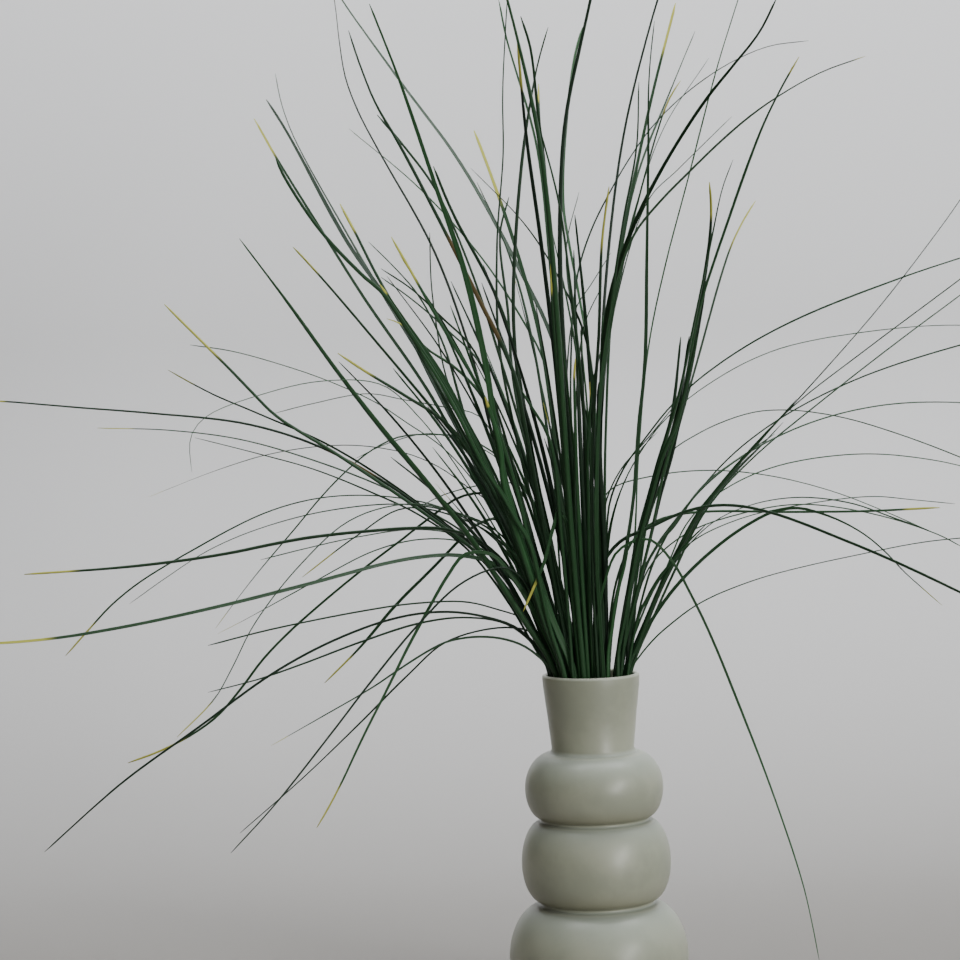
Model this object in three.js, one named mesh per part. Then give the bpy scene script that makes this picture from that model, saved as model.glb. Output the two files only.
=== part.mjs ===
// Vase of preserved bear grass: a thrown vase of three stacked rounds under a flared neck, with
// a loose fountain of long keeled leaves standing in it.
// Millimetres, +Z up, origin at the centre of the vase's flat foot, +X to the viewer's right,
// +Y away from the viewer.
import * as THREE from "three";

// Vase: outer radii and the heights they are at.
const RIM_RADIUS = 34.2;
const RIM_HEIGHT = 236;
const LIP_ROUND = 1.9;
const NECK_RADIUS = 28.8;
const NECK_HEIGHT = 181;
const TOP_ROUND_RADIUS = 48.6;
const TOP_ROUND_HEIGHT = 156;
const UPPER_CREASE_RADIUS = 39.0;
const UPPER_CREASE_HEIGHT = 132;
const MIDDLE_ROUND_RADIUS = 52.5;
const MIDDLE_ROUND_HEIGHT = 103;
const LOWER_CREASE_RADIUS = 41.0;
const LOWER_CREASE_HEIGHT = 73;
const BOTTOM_ROUND_RADIUS = 63;
const BOTTOM_ROUND_HEIGHT = 36;
const FOOT_RADIUS = 46;
const FOOT_BEVEL = 1.5;
const FOOT_SWELL_HEIGHT = 11;
const FOOT_SWELL = 1.2;
const WALL = 3.8;
const FLOOR = 5;
const NECK_REACH = 5;
const NECK_SLACK = 0.2;
const LIP_REACH = 8;
const LIP_TUCK = 0.5;
const INNER_CORNER_WIDTH = 7;
const INNER_CORNER_HEIGHT = 4;
const VASE_SEGMENTS = 48;
const ROUND_STEPS = 6;
const LIP_STEPS = 6;

// Where each round meets the crease above or below it, as degrees on its oval.
const FOOT_ANGLE = -18;
const CREASE_TOP_ANGLE = 82;
const CREASE_BOTTOM_ANGLE = -77;
const NEXT_ANGLE = 14;
// The inside follows the outside, a little flatter in the creases.
const INNER_FLATTEN = 0.3;

// Leaves: how they stand in the vase.
const LEAF_FOOT_HEIGHT = FLOOR + 0.3;
const MOUTH_HEIGHT = RIM_HEIGHT;
const WAIST_HEIGHT = 184;
const WAIST_SHARE = 0.8;
const FOOT_SHARE = 0.8;
const ROW_SPACING = 1.7;
const ROW_FREE = 30;
const ROW_SPREAD = 90;
const ROW_CURVE = 180;

// Leaves: their section, a flat face with a keel, tapering to a fine point.
const KEEL_SHARE = 0.26;
const KEEL_LEAST = 0.42;
const TIP_SHARE = 0.16;
const SLOW_TAPER = 0.3;
const TWIST_START = 50;
const TWIST_FULL = 170;
const SHAFT_RINGS = 20;

// Where the viewer's eye is when the leaves' shapes below are read.
const EYE_X = -73.4;
const EYE_Y = -1820;
const EYE_Z = 439;

// Each leaf: the x of its place in the vase's mouth, its row counted from the middle row (minus
// is nearer the viewer), its width, its twist in degrees, and the x and z it is seen to pass
// through on its way from the mouth to its tip.
const LEFT_LEAVES = [
  {
    mouth: -6, row: -14, width: 4.2, twist: 35,
    seen: [
      [-9, 300], [-12, 380], [-15, 470], [-18, 540], [-24, 609], [-37, 679], [-47, 722],
    ],
  },
  {
    mouth: -8, row: -13, width: 3.0, twist: -40,
    seen: [
      [-11, 290], [-13, 335], [-17, 352], [-23, 340], [-30, 316], [-38, 298], [-46, 281],
    ],
  },
  {
    mouth: -12, row: -12, width: 5.0, twist: 20,
    seen: [
      [-26, 275], [-42, 318], [-52, 355], [-60, 396], [-67, 454], [-80, 521], [-97, 577],
      [-121, 655], [-140, 708],
    ],
  },
  {
    mouth: -14, row: -11, width: 3.0, twist: 60,
    seen: [
      [-24, 272], [-38, 320], [-48, 368], [-64, 422], [-76, 447], [-100, 490], [-119, 526],
      [-130, 546],
    ],
  },
  {
    mouth: -18, row: -10, width: 4.6, twist: 25,
    seen: [
      [-31, 270], [-46, 318], [-60, 362], [-79, 408], [-95, 443], [-118, 480], [-139, 513],
    ],
  },
  {
    mouth: -20, row: -9, width: 4.0, twist: -30,
    seen: [
      [-31, 264], [-48, 298], [-66, 321], [-81, 325], [-98, 308], [-114, 282], [-128, 258],
      [-144, 228], [-161, 197], [-181, 158], [-196, 133],
    ],
  },
  {
    mouth: -13, row: -8, width: 3.2, twist: 45,
    seen: [
      [-19, 272], [-29, 335], [-38, 395], [-49, 455], [-60, 479], [-84, 531], [-120, 606],
      [-140, 644], [-155, 690],
    ],
  },
  {
    mouth: -24, row: -7, width: 4.4, twist: -20,
    seen: [
      [-37, 260], [-55, 290], [-78, 328], [-95, 352], [-116, 380], [-138, 408], [-170, 452],
      [-205, 504], [-236, 548],
    ],
  },
  {
    mouth: -25, row: -6, width: 1.9, twist: 15,
    seen: [
      [-31, 242], [-38, 251], [-50, 258.5], [-65, 263], [-82, 264], [-101, 261], [-126, 248],
      [-154, 230.5], [-192, 210], [-226, 192],
    ],
  },
  {
    mouth: -17, row: -5, width: 4.6, twist: 30,
    seen: [
      [-28, 262], [-44, 293], [-58, 310], [-73, 318], [-95, 322], [-130, 319.5], [-193, 305.5],
      [-250, 293], [-322, 279.6], [-380, 272], [-424, 270],
    ],
  },
  {
    mouth: -25, row: -4, width: 3.8, twist: 50,
    seen: [
      [-38, 276], [-54, 326], [-70, 363], [-87, 398], [-110, 441], [-150, 503], [-180, 554],
      [-210, 606], [-223, 631],
    ],
  },
  {
    mouth: -22, row: -3, width: 4.4, twist: -25,
    seen: [
      [-32, 264], [-47, 298], [-64, 322], [-82, 335], [-104, 341], [-144, 341], [-198, 337],
      [-260, 327], [-322, 321], [-395, 318],
    ],
  },
  {
    mouth: -27, row: -2, width: 2.3, twist: -15,
    seen: [
      [-37, 256], [-50, 269], [-69, 277], [-101, 282.5], [-136, 279], [-179, 265], [-223, 243],
      [-279, 205], [-330, 170.5], [-370, 137.5], [-388, 122],
    ],
  },
  {
    mouth: -28.3, row: -1, width: 3.6, twist: 40,
    seen: [
      [-38, 263], [-53, 291], [-75, 321], [-110, 350], [-141, 373], [-181, 401], [-215, 424],
      [-240, 451], [-290, 504],
    ],
  },
  {
    mouth: -27.5, row: 0, width: 3.4, twist: 20,
    seen: [
      [-37, 258], [-50, 281], [-73, 318], [-105, 348], [-145, 378], [-187, 402], [-236, 418.7],
      [-300, 428], [-350, 433.5], [-407, 440], [-425, 441.5],
    ],
  },
  {
    mouth: -26, row: 3, width: 3.0, twist: -45,
    seen: [
      [-36, 262], [-52, 295], [-76, 325], [-104, 349], [-140, 377], [-180, 403], [-230, 427],
      [-260, 441], [-289, 458],
    ],
  },
  {
    mouth: -24.5, row: 4, width: 4.0, twist: 55,
    seen: [
      [-34, 267], [-50, 318], [-67, 362], [-85, 403], [-103, 440], [-125, 487], [-160, 541],
      [-200, 620], [-214, 644],
    ],
  },
  {
    mouth: -23.5, row: 5, width: 2.6, twist: 30,
    seen: [
      [-31, 265], [-44, 302], [-60, 328], [-80, 345], [-104, 357], [-134, 364], [-177, 366],
      [-220, 357.5], [-276, 331.5], [-327, 301], [-368, 260],
    ],
  },
  {
    mouth: -19, row: 6, width: 3.2, twist: -20,
    seen: [
      [-29, 280], [-44, 335], [-58, 360], [-74, 367], [-95, 358], [-128, 335], [-172, 303],
      [-223, 260], [-262, 215], [-294, 195], [-327, 183],
    ],
  },
  {
    mouth: -19, row: 8, width: 2.2, twist: -50,
    seen: [
      [-27, 280], [-40, 322], [-58, 350], [-84, 371], [-110, 389], [-143, 399], [-175, 401.7],
      [-220, 397], [-260, 386], [-306, 369.5],
    ],
  },
  {
    mouth: -17, row: 9, width: 3.0, twist: 20,
    seen: [
      [-26, 285], [-40, 322], [-56, 344], [-70, 347], [-84, 337], [-109, 313], [-136, 287.5],
      [-160, 260.6], [-187, 235],
    ],
  },
  {
    mouth: -17.5, row: 10, width: 3.6, twist: -60,
    seen: [
      [-27, 270], [-44, 326], [-60, 390], [-76, 461], [-100, 535], [-140, 613], [-157, 653],
      [-164, 711], [-166, 728],
    ],
  },
  {
    mouth: -14, row: 11, width: 2.4, twist: 30,
    seen: [
      [-21, 290], [-33, 345], [-52, 382], [-78, 402], [-104, 407], [-136, 404], [-171, 379.5],
      [-205, 343], [-238, 306], [-262, 276],
    ],
  },
  {
    mouth: -15, row: 12, width: 2.6, twist: 70,
    seen: [
      [-25, 275], [-42, 322], [-62, 370], [-90, 425], [-120, 476], [-160, 548], [-200, 629],
      [-207, 662],
    ],
  },
  {
    mouth: -11, row: 13, width: 3.2, twist: -35,
    seen: [
      [-22, 275], [-38, 320], [-56, 354], [-76, 386], [-103, 422], [-140, 469], [-180, 519],
      [-199, 541],
    ],
  },
  {
    mouth: -6, row: 14, width: 3.8, twist: 50,
    seen: [
      [-8, 290], [-8, 350], [-10, 415], [-18, 465], [-36, 509], [-80, 595], [-118, 650],
      [-159, 711], [-168, 727],
    ],
  },
];

const RIGHT_LEAVES = [
  {
    mouth: 8, row: -14, width: 2.8, twist: 40,
    seen: [
      [7, 290], [7, 345], [10, 400], [16, 460], [38, 540], [71, 577], [128, 626], [178, 653],
      [204, 661],
    ],
  },
  {
    mouth: 3, row: -13, width: 2.8, twist: -20,
    seen: [
      [6, 275], [14, 306], [25, 325], [39, 330.5], [54, 320.5], [66, 301], [83, 265], [103, 212],
      [126, 146], [146, 78], [155, 28],
    ],
  },
  {
    mouth: 11, row: -12, width: 3.4, twist: 30,
    seen: [
      [16, 270], [25, 312], [33, 355], [38, 405], [44, 450], [48, 531], [51, 598], [53, 651],
      [58, 690],
    ],
  },
  {
    mouth: 8, row: -11, width: 3.8, twist: -35,
    seen: [
      [9, 285], [10, 350], [13, 420], [20, 490], [36, 540], [61, 588], [93, 635], [131, 680],
      [144, 704],
    ],
  },
  {
    mouth: 4, row: -10, width: 3.4, twist: 30,
    seen: [
      [5, 270], [8, 304], [18, 324], [40, 335], [68, 346.7], [96, 351.2], [130, 344.5],
      [174, 326.6], [216, 307.4], [262, 284], [296, 266],
    ],
  },
  {
    mouth: 18, row: -9, width: 3.8, twist: 50,
    seen: [
      [26, 262], [36, 298], [47, 338], [58, 384], [68, 412], [83, 485], [101, 537], [135, 622],
      [158, 662],
    ],
  },
  {
    mouth: 12, row: -8, width: 1.9, twist: -30,
    seen: [
      [13, 285], [15, 325], [23, 359], [35, 383], [55, 410], [88, 436], [137, 459], [218, 471],
      [264, 472], [292, 470],
    ],
  },
  {
    mouth: 23, row: -7, width: 4.0, twist: 25,
    seen: [
      [33, 256], [51, 296], [68, 328], [94, 364], [120, 392], [158, 431], [210, 487], [258, 546],
      [272, 565],
    ],
  },
  {
    mouth: 25.5, row: -6, width: 1.8, twist: 20,
    seen: [
      [34, 246], [45, 258.5], [57, 268.7], [79, 283.5], [117, 298], [150, 306], [193, 314],
      [237, 321], [292, 324.5],
    ],
  },
  {
    mouth: 19.5, row: -5, width: 4.2, twist: -40,
    seen: [
      [26, 275], [33, 312], [43, 349], [54, 384], [66, 412], [82, 484], [93, 548], [93, 577],
    ],
  },
  {
    mouth: 26.5, row: -4, width: 3.8, twist: 30,
    seen: [
      [37, 260], [58, 291], [87, 319], [118, 339.6], [143, 347.9], [174, 339.6], [202, 322],
      [221, 301.5], [248, 276],
    ],
  },
  {
    mouth: 25, row: -3, width: 2.8, twist: 45,
    seen: [
      [36, 262], [54, 300], [80, 346], [110, 383], [146, 418], [199, 457], [266, 504], [288, 520],
    ],
  },
  {
    mouth: 13, row: -2, width: 2.2, twist: -25,
    seen: [
      [12, 275], [13, 320], [20, 366], [35, 389], [68, 428], [104, 455], [150, 479], [231, 508],
      [286, 524],
    ],
  },
  {
    mouth: 28.2, row: 0, width: 3.2, twist: -50,
    seen: [
      [38, 258], [56, 296], [84, 348], [116, 382], [163, 419], [223, 463], [266, 493], [290, 510],
    ],
  },
  {
    mouth: 12, row: 1, width: 2.8, twist: 30,
    seen: [
      [14, 268], [20, 300], [33, 329], [50, 342], [80, 346.8], [139, 345], [196, 343.7],
      [248, 344.6],
    ],
  },
  {
    mouth: 27.8, row: 2, width: 2.0, twist: -30,
    seen: [
      [37, 262], [54, 305], [75, 345], [108, 367.6], [142, 379], [196, 384], [240, 379],
      [264, 373.3], [288, 366],
    ],
  },
  {
    mouth: 22, row: 3, width: 3.6, twist: 60,
    seen: [
      [27, 275], [34, 330], [38, 385], [47, 461], [60, 517], [78, 578], [102, 660], [120, 712],
    ],
  },
  {
    mouth: 25.5, row: 4, width: 2.8, twist: -40,
    seen: [
      [33, 270], [47, 314], [67, 347], [93, 373], [131, 396], [172, 411], [217, 418.5],
      [264, 418], [290, 415],
    ],
  },
  {
    mouth: 7.5, row: 5, width: 4.4, twist: 45,
    seen: [
      [10, 285], [11, 340], [12, 414], [19, 510], [34, 609], [54, 683], [66, 719],
    ],
  },
  {
    mouth: 25, row: 6, width: 1.9, twist: 25,
    seen: [
      [34, 290], [45, 350], [57, 385], [80, 401.6], [123, 416], [168, 413], [207, 402],
      [264, 379.2], [290, 366],
    ],
  },
  {
    mouth: 5, row: 8, width: 3.2, twist: 50,
    seen: [
      [6, 290], [8, 350], [12, 414], [20, 484], [31, 539], [53, 632], [73, 702],
    ],
  },
  {
    mouth: 23, row: 9, width: 2.4, twist: -60,
    seen: [
      [31, 285], [41, 334], [60, 385], [80, 448], [109, 536], [125, 563],
    ],
  },
  {
    mouth: -1, row: 10, width: 2.6, twist: 40,
    seen: [
      [-4, 300], [-7, 370], [-8, 440], [1, 523], [28, 580], [62, 625], [109, 659], [150, 673],
      [165, 673],
    ],
  },
  {
    mouth: 20, row: 11, width: 2.2, twist: 30,
    seen: [
      [28, 270], [45, 318], [74, 355], [102, 385], [140, 412], [196, 438], [265, 458], [290, 463],
    ],
  },
  {
    mouth: 5.5, row: 13, width: 3.0, twist: 60,
    seen: [
      [7, 290], [8, 350], [8, 441], [-2, 515], [-9, 568], [1, 662], [8, 687],
    ],
  },
  {
    mouth: 8, row: 14, width: 2.4, twist: -50,
    seen: [
      [12, 320], [15, 400], [24, 505], [43, 584], [67, 640], [86, 682],
    ],
  },
];

const MIDDLE_LEAVES = [
  {
    mouth: -3, row: -6, width: 5.0, twist: 30,
    seen: [
      [-5, 300], [-8, 371], [-12, 468], [-12, 540], [-6, 621], [9, 685], [19, 725],
    ],
  },
  {
    mouth: -8, row: -4, width: 3.6, twist: -40,
    seen: [
      [-9, 280], [-12, 340], [-18, 450], [-26, 540], [-34, 614], [-38, 678],
    ],
  },
  {
    mouth: -12, row: -2, width: 3.0, twist: 60,
    seen: [
      [-22, 290], [-32, 345], [-40, 400], [-46, 480], [-43, 541], [-34, 614], [-22, 670],
      [-16, 688],
    ],
  },
  {
    mouth: -13, row: 0, width: 2.6, twist: -20,
    seen: [
      [-19, 290], [-28, 340], [-36, 390], [-50, 477], [-62, 511], [-87, 562], [-99, 594],
    ],
  },
  {
    mouth: -5, row: 2, width: 3.2, twist: 45,
    seen: [
      [-6, 270], [-10, 330], [-14, 400], [-20, 520], [-27, 606], [-46, 683], [-50, 708],
    ],
  },
  {
    mouth: 2, row: 4, width: 2.0, twist: -50,
    seen: [
      [4, 280], [7, 340], [8, 400], [5, 466], [-10, 506], [-35, 550], [-73, 592],
    ],
  },
  {
    mouth: -8, row: 6, width: 2.4, twist: 30,
    seen: [
      [-10, 290], [-16, 350], [-28, 470], [-45, 541], [-62, 595], [-70, 618],
    ],
  },
];

const SAGE_GLAZE = new THREE.MeshStandardMaterial({ color: 0x8f9382, roughness: 0.5 });
SAGE_GLAZE.name = "sage_glaze";
const GRASS = new THREE.MeshStandardMaterial({ color: 0x1f3d22, roughness: 0.55 });
GRASS.name = "bear_grass";

// A part of an oval, from one angle to another, as radius and height pairs.
function roundArc(centreRadius, centreHeight, reach, halfHeight, fromDegrees, toDegrees, steps) {
  const points = [];
  for (let i = 0; i <= steps; i += 1) {
    const angle = THREE.MathUtils.degToRad(fromDegrees + ((toDegrees - fromDegrees) * i) / steps);
    const radius = centreRadius + reach * Math.cos(angle);
    const height = centreHeight + halfHeight * Math.sin(angle);
    points.push(new THREE.Vector2(radius, height));
  }
  return points;
}

// The three rounds, bottom to top, moved inward by the wall for the inside.
function sideProfile(inward) {
  const sink = inward * INNER_FLATTEN;
  // Each stretch: the crease or neck radius it reaches out from, the round's own radius and
  // height, the height where it ends, and the angles it runs between.
  const stretches = [
    [LOWER_CREASE_RADIUS, BOTTOM_ROUND_RADIUS, BOTTOM_ROUND_HEIGHT, LOWER_CREASE_HEIGHT,
      FOOT_ANGLE, CREASE_TOP_ANGLE],
    [LOWER_CREASE_RADIUS, MIDDLE_ROUND_RADIUS, MIDDLE_ROUND_HEIGHT, LOWER_CREASE_HEIGHT,
      CREASE_BOTTOM_ANGLE, 0],
    [UPPER_CREASE_RADIUS, MIDDLE_ROUND_RADIUS, MIDDLE_ROUND_HEIGHT, UPPER_CREASE_HEIGHT,
      NEXT_ANGLE, CREASE_TOP_ANGLE],
    [UPPER_CREASE_RADIUS, TOP_ROUND_RADIUS, TOP_ROUND_HEIGHT, UPPER_CREASE_HEIGHT,
      CREASE_BOTTOM_ANGLE, 0],
    [NECK_RADIUS, TOP_ROUND_RADIUS, TOP_ROUND_HEIGHT, NECK_HEIGHT,
      NEXT_ANGLE, CREASE_TOP_ANGLE],
  ];
  return stretches.flatMap(([inner, outer, height, end, from, to]) => roundArc(
    inner - inward,
    height,
    outer - inner,
    Math.abs(end - height) - sink,
    from,
    to,
    ROUND_STEPS,
  ));
}

// The vase is one turned solid: foot, outside, rounded lip, inside and inner floor.
function makeVase() {
  const swellRadius = (FOOT_RADIUS + BOTTOM_ROUND_RADIUS) / 2 + FOOT_SWELL;
  const neckRadius = NECK_RADIUS + NECK_SLACK;
  const halfRadius = (NECK_RADIUS + RIM_RADIUS) / 2;
  const halfHeight = (NECK_HEIGHT + RIM_HEIGHT) / 2;
  const outside = [
    new THREE.Vector2(0, 0),
    new THREE.Vector2(FOOT_RADIUS - FOOT_BEVEL, 0),
    new THREE.Vector2(FOOT_RADIUS, FOOT_BEVEL),
    new THREE.Vector2(swellRadius, FOOT_SWELL_HEIGHT),
    ...sideProfile(0),
    new THREE.Vector2(neckRadius, NECK_HEIGHT + NECK_REACH),
    new THREE.Vector2(halfRadius, halfHeight),
    new THREE.Vector2(RIM_RADIUS - LIP_TUCK, RIM_HEIGHT - LIP_REACH),
  ];
  const lip = roundArc(
    RIM_RADIUS - LIP_ROUND,
    RIM_HEIGHT - LIP_ROUND,
    LIP_ROUND,
    LIP_ROUND,
    0,
    180,
    LIP_STEPS,
  );
  const inside = [
    new THREE.Vector2(halfRadius - WALL, halfHeight),
    new THREE.Vector2(neckRadius - WALL, NECK_HEIGHT + NECK_REACH),
    ...sideProfile(WALL).reverse(),
    new THREE.Vector2(FOOT_RADIUS - FOOT_BEVEL, FLOOR + INNER_CORNER_HEIGHT),
    new THREE.Vector2(FOOT_RADIUS - INNER_CORNER_WIDTH, FLOOR),
    new THREE.Vector2(0, FLOOR),
  ];
  const geometry = new THREE.LatheGeometry([...outside, ...lip, ...inside], VASE_SEGMENTS);
  geometry.rotateX(Math.PI / 2);
  const vase = new THREE.Mesh(geometry, SAGE_GLAZE);
  vase.name = "vase";
  return vase;
}

// A seen point is moved along the viewer's line of sight to its leaf's row. Rows fan out with
// the distance from the mouth, so leaves that cross for the viewer pass one behind another.
function seenPoint(x, z, row) {
  const distance = Math.max(0, Math.hypot(x, z - MOUTH_HEIGHT) - ROW_FREE);
  const spread = 1 + distance / ROW_SPREAD + (distance / ROW_CURVE) ** 2;
  const depth = row * ROW_SPACING * spread;
  const share = (depth - EYE_Y) / -EYE_Y;
  return new THREE.Vector3(EYE_X + (x - EYE_X) * share, depth, EYE_Z + (z - EYE_Z) * share);
}

// The leaf's middle line: foot on the vase's inner floor, waist of the neck, mouth, then out.
function middleLine(leaf) {
  const mouthDepth = leaf.row * ROW_SPACING;
  const foot = new THREE.Vector3(leaf.mouth * FOOT_SHARE, mouthDepth * FOOT_SHARE, LEAF_FOOT_HEIGHT);
  const waist = new THREE.Vector3(leaf.mouth * WAIST_SHARE, mouthDepth * WAIST_SHARE, WAIST_HEIGHT);
  const mouth = new THREE.Vector3(leaf.mouth, mouthDepth, MOUTH_HEIGHT);
  const seen = leaf.seen.map(([x, z]) => seenPoint(x, z, leaf.row));
  const curve = new THREE.CatmullRomCurve3([waist, mouth, ...seen], false, "centripetal");
  return { foot, waist, curve };
}

// Width along the leaf: full low down, drawing in slowly, then to a point.
function widthAt(share, width) {
  const taper = 1 - SLOW_TAPER * share - (1 - SLOW_TAPER - TIP_SHARE) * share ** 4;
  return width * taper;
}

// One leaf: a three-cornered section carried along the middle line and closed at both ends.
function makeLeaf(leaf, name) {
  const line = middleLine(leaf);
  const centres = [line.foot];
  const tangents = [new THREE.Vector3().subVectors(line.waist, line.foot).normalize()];
  const shares = [0];
  for (let i = 0; i <= SHAFT_RINGS; i += 1) {
    const share = i / SHAFT_RINGS;
    centres.push(line.curve.getPointAt(share));
    tangents.push(line.curve.getTangentAt(share));
    shares.push(share);
  }
  const corners = [];
  const away = new THREE.Vector3(0, 1, 0);
  centres.forEach((centre, i) => {
    const tangent = tangents[i];
    const side = new THREE.Vector3().crossVectors(tangent, away).normalize();
    const fromMouth = centre.distanceTo(new THREE.Vector3(0, 0, MOUTH_HEIGHT));
    const above = centre.z > MOUTH_HEIGHT || Math.hypot(centre.x, centre.y) > RIM_RADIUS;
    const turned = above ? THREE.MathUtils.smoothstep(fromMouth, TWIST_START, TWIST_FULL) : 0;
    side.applyAxisAngle(tangent, THREE.MathUtils.degToRad(leaf.twist * turned));
    const keel = new THREE.Vector3().crossVectors(side, tangent).normalize();
    const width = widthAt(shares[i], leaf.width);
    const depth = Math.max(KEEL_LEAST, width * KEEL_SHARE);
    const face = centre.clone().addScaledVector(keel, depth / 3);
    corners.push(face.clone().addScaledVector(side, -width / 2));
    corners.push(face.clone().addScaledVector(side, width / 2));
    corners.push(face.clone().addScaledVector(keel, -depth));
  });
  const faces = [0, 2, 1];
  for (let i = 0; i + 1 < centres.length; i += 1) {
    for (let k = 0; k < 3; k += 1) {
      const a = 3 * i + k;
      const b = 3 * i + ((k + 1) % 3);
      faces.push(a, b, a + 3);
      faces.push(b, b + 3, a + 3);
    }
  }
  const last = 3 * (centres.length - 1);
  faces.push(last, last + 1, last + 2);
  const geometry = new THREE.BufferGeometry();
  const positions = corners.flatMap((corner) => corner.toArray());
  geometry.setAttribute("position", new THREE.Float32BufferAttribute(positions, 3));
  geometry.setIndex(faces);
  geometry.computeVertexNormals();
  const mesh = new THREE.Mesh(geometry, GRASS);
  mesh.name = name;
  return mesh;
}

const part = new THREE.Group();
part.name = "vase_of_preserved_bear_grass";
part.add(makeVase());
LEFT_LEAVES.forEach((leaf, i) => {
  part.add(makeLeaf(leaf, `left_leaf_${String(i + 1).padStart(2, "0")}`));
});
RIGHT_LEAVES.forEach((leaf, i) => {
  part.add(makeLeaf(leaf, `right_leaf_${String(i + 1).padStart(2, "0")}`));
});
MIDDLE_LEAVES.forEach((leaf, i) => {
  part.add(makeLeaf(leaf, `middle_leaf_${String(i + 1).padStart(2, "0")}`));
});

export default part;
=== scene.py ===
# %% [markdown]
# # A vase of preserved bear grass
#
# Bear grass is a tough, keeled leaf, two to five millimetres wide and most of a metre long.
# Florists dye and preserve it, and stand a loose bunch of it in a vase, where the leaves
# fountain out under their own weight. This notebook gives the measured model its looks: a
# turned vase with a satin sage glaze, and every leaf as a thin keeled blade.

# %% Load the measured model
import math
import random

import bmesh
import bpy
from mathutils import Matrix, Vector


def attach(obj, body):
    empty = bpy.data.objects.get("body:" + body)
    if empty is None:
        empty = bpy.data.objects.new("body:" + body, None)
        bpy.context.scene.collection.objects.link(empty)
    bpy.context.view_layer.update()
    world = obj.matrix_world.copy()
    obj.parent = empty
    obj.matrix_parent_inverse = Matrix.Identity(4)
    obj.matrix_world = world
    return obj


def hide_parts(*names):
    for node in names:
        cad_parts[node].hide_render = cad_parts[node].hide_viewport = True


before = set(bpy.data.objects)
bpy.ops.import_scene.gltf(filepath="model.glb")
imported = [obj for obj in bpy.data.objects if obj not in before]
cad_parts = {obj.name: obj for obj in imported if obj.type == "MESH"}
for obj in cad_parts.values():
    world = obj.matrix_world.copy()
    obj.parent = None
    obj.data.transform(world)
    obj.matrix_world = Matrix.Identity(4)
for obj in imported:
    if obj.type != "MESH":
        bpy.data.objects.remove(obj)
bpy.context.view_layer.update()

MM = 0.001

# %% [markdown]
# ## The camera
#
# The photograph was taken from a little under two metres away, slightly to the left of the
# vase and level with the middle of the leaves, with a lens that sees a narrow angle. The
# camera looks a touch down and is rolled by less than two degrees, so the vase seems to lean.

# %% Camera
EYE = Vector((-73.4, -1820.0, 439.0)) * MM
LOOK_DOWN = math.radians(2.04)
ROLL = math.radians(-1.8)
LENS = 97.5


def make_camera():
    data = bpy.data.cameras.new("photo_camera")
    data.lens = LENS
    camera = bpy.data.objects.new("photo_camera", data)
    turn = Matrix.Rotation(math.pi / 2 - LOOK_DOWN, 4, "X") @ Matrix.Rotation(ROLL, 4, "Z")
    camera.matrix_world = Matrix.Translation(EYE) @ turn
    bpy.context.scene.collection.objects.link(camera)
    bpy.context.scene.camera = camera
    return camera


print("camera at", [round(v, 3) for v in make_camera().matrix_world.translation])

# %% [markdown]
# ## Shader sums
#
# A finish is easier to read as a sum than as a list of links. A `Socket` wraps one output of a
# shader node, and its operators add Math nodes. `Finish.add` makes any other node: its settings
# go in first and then the values or links of its sockets.

# %% Socket and Finish


class Socket:
    """One number that comes out of a shader node and can be used in a sum."""

    def __init__(self, finish, link):
        self.finish = finish
        self.link = link

    def sum(self, operation, first, second):
        return self.finish.add("ShaderNodeMath", {"operation": operation}, {0: first, 1: second})

    def __add__(self, other):
        return self.sum("ADD", self, other)

    __radd__ = __add__

    def __sub__(self, other):
        return self.sum("SUBTRACT", self, other)

    def __rsub__(self, other):
        return self.sum("SUBTRACT", other, self)

    def __mul__(self, other):
        return self.sum("MULTIPLY", self, other)

    __rmul__ = __mul__

    def __abs__(self):
        return self.sum("ABSOLUTE", self, 0.0)


class Finish:
    """A material with one Principled shader, built up by adding nodes."""

    def __init__(self, name, **constants):
        self.material = bpy.data.materials.new(name)
        self.material.use_nodes = True
        self.tree = self.material.node_tree
        self.shader = self.tree.nodes["Principled BSDF"]
        for socket, value in constants.items():
            self.shader.inputs[socket.replace("_", " ")].default_value = value

    def add(self, kind, settings=None, sockets=None, output=0):
        node = self.tree.nodes.new(kind)
        for name, value in (settings or {}).items():
            setattr(node, name, value)
        for name, value in (sockets or {}).items():
            self.feed(node.inputs[name], value)
        return Socket(self, node.outputs[output])

    def feed(self, socket, value):
        if isinstance(value, Socket):
            self.tree.links.new(value.link, socket)
        else:
            socket.default_value = value

    def mix(self, share, first, second):
        """Share 0 is the first colour and share 1 the second."""
        settings = {"data_type": "RGBA", "clamp_factor": True}
        return self.add("ShaderNodeMix", settings, {0: share, 6: first, 7: second}, output=2)

    def noise(self, vector, scale, detail=2.0, roughness=0.5):
        sockets = {"Vector": vector, "Scale": scale, "Detail": detail, "Roughness": roughness}
        return self.add("ShaderNodeTexNoise", {}, sockets)

    def ramp(self, value, low, high):
        """0 up to low, 1 from high on, and a smooth rise between them."""
        sockets = {"Value": value, "From Min": low, "From Max": high}
        return self.add("ShaderNodeMapRange", {"interpolation_type": "SMOOTHSTEP"}, sockets)

    def bump(self, height, strength, distance):
        sockets = {"Height": height, "Strength": strength, "Distance": distance}
        return self.add("ShaderNodeBump", {}, sockets)

    def show(self, **sockets):
        for name, value in sockets.items():
            self.feed(self.shader.inputs[name.replace("_", " ")], value)
        return self.material


def colour(red, green, blue):
    return (red, green, blue, 1.0)


print("shader sums ready")
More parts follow.
